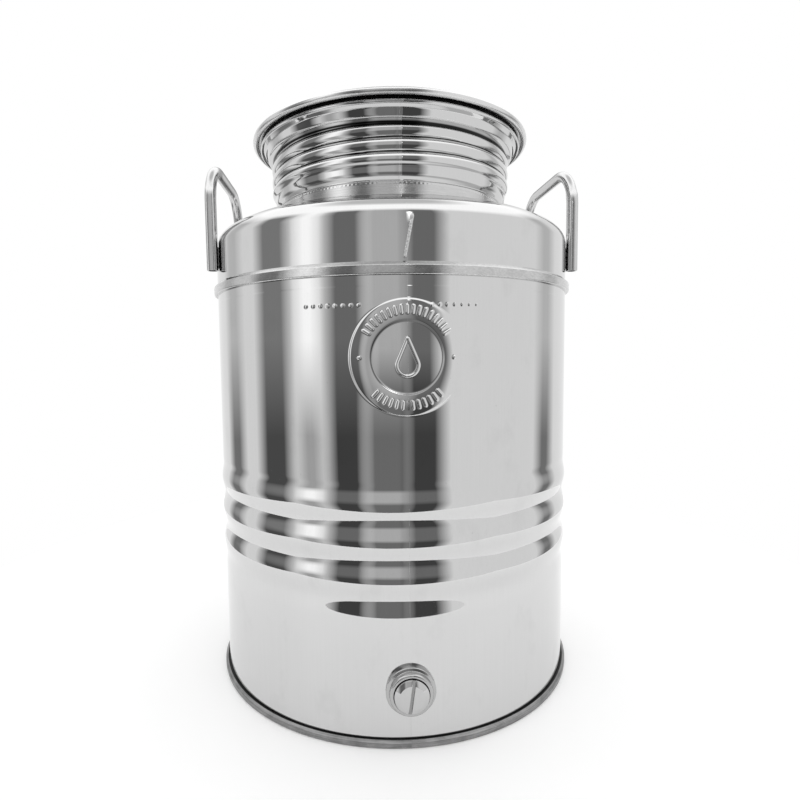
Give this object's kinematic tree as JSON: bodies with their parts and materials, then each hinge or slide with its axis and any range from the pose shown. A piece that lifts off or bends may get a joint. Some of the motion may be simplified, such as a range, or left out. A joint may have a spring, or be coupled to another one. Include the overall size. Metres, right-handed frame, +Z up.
{
  "type": "milk can",
  "caption": "Stainless steel milk can with a screw lid, two fixed tube handles, ribbed body and a drain plug low on the front.",
  "frame": {"origin": "centre of the base ring on the surface that the can stands on", "axes": "+Z up along the can's axis; -Y is the front, where the drain plug is; the carrying handles are at -X and +X"},
  "size_m": [0.3066, 0.3141, 0.4466],
  "materials": {
    "polished_steel": "mirror polished stainless steel sheet",
    "brushed_steel": "ground and brushed stainless steel",
    "handle_steel": "satin stainless steel tube and rod",
    "weld_steel": "rippled weld metal, lightly brushed",
    "turned_steel": "fine turned stainless steel",
    "black_rubber": "matt black food-grade rubber"
  },
  "bodies": {
    "can": {"base_ring": "brushed_steel", "base_pan": "brushed_steel", "body_shell": "polished_steel", "body_seam_weld": "weld_steel", "seam_ring": "brushed_steel", "shoulder": "polished_steel", "shoulder_seam_weld": "weld_steel", "neck_weld": "weld_steel", "neck": "polished_steel", "left_handle": "handle_steel", "right_handle": "handle_steel", "left_handle_welds": "weld_steel", "right_handle_welds": "weld_steel", "tap_boss": "turned_steel", "tap_boss_weld": "weld_steel"},
    "lid_seal": {"lid_gasket": "black_rubber"},
    "lid": {"lid_cup": "polished_steel", "lid_handle": "handle_steel", "lid_handle_welds": "weld_steel"},
    "plug_seal": {"plug_gasket": "black_rubber"},
    "plug": {"tap_plug": "turned_steel"}
  },
  "joints": [
    {"name": "lid_rise", "type": "slide", "parent": "can", "child": "lid_seal", "axis": [0, 0, 1], "range_m": [0, 0.035]},
    {"name": "lid_turn", "type": "hinge", "parent": "lid_seal", "child": "lid", "pos_m": [0, 0, 0.4427], "axis": [0, 0, 1], "range_deg": [0, 1259]},
    {"name": "plug_travel", "type": "slide", "parent": "can", "child": "plug_seal", "axis": [0, -1, 0], "range_m": [0, 0.0146]},
    {"name": "plug_turn", "type": "hinge", "parent": "plug_seal", "child": "plug", "pos_m": [0, -0.1562, 0.04], "axis": [0, -1, 0], "range_deg": [0, 2880]}
  ],
  "couplings": [
    {"joint": "lid_rise", "follows": "lid_turn", "m_per_rad": 0.0015915},
    {"joint": "plug_travel", "follows": "plug_turn", "m_per_rad": 0.00028871}
  ]
}
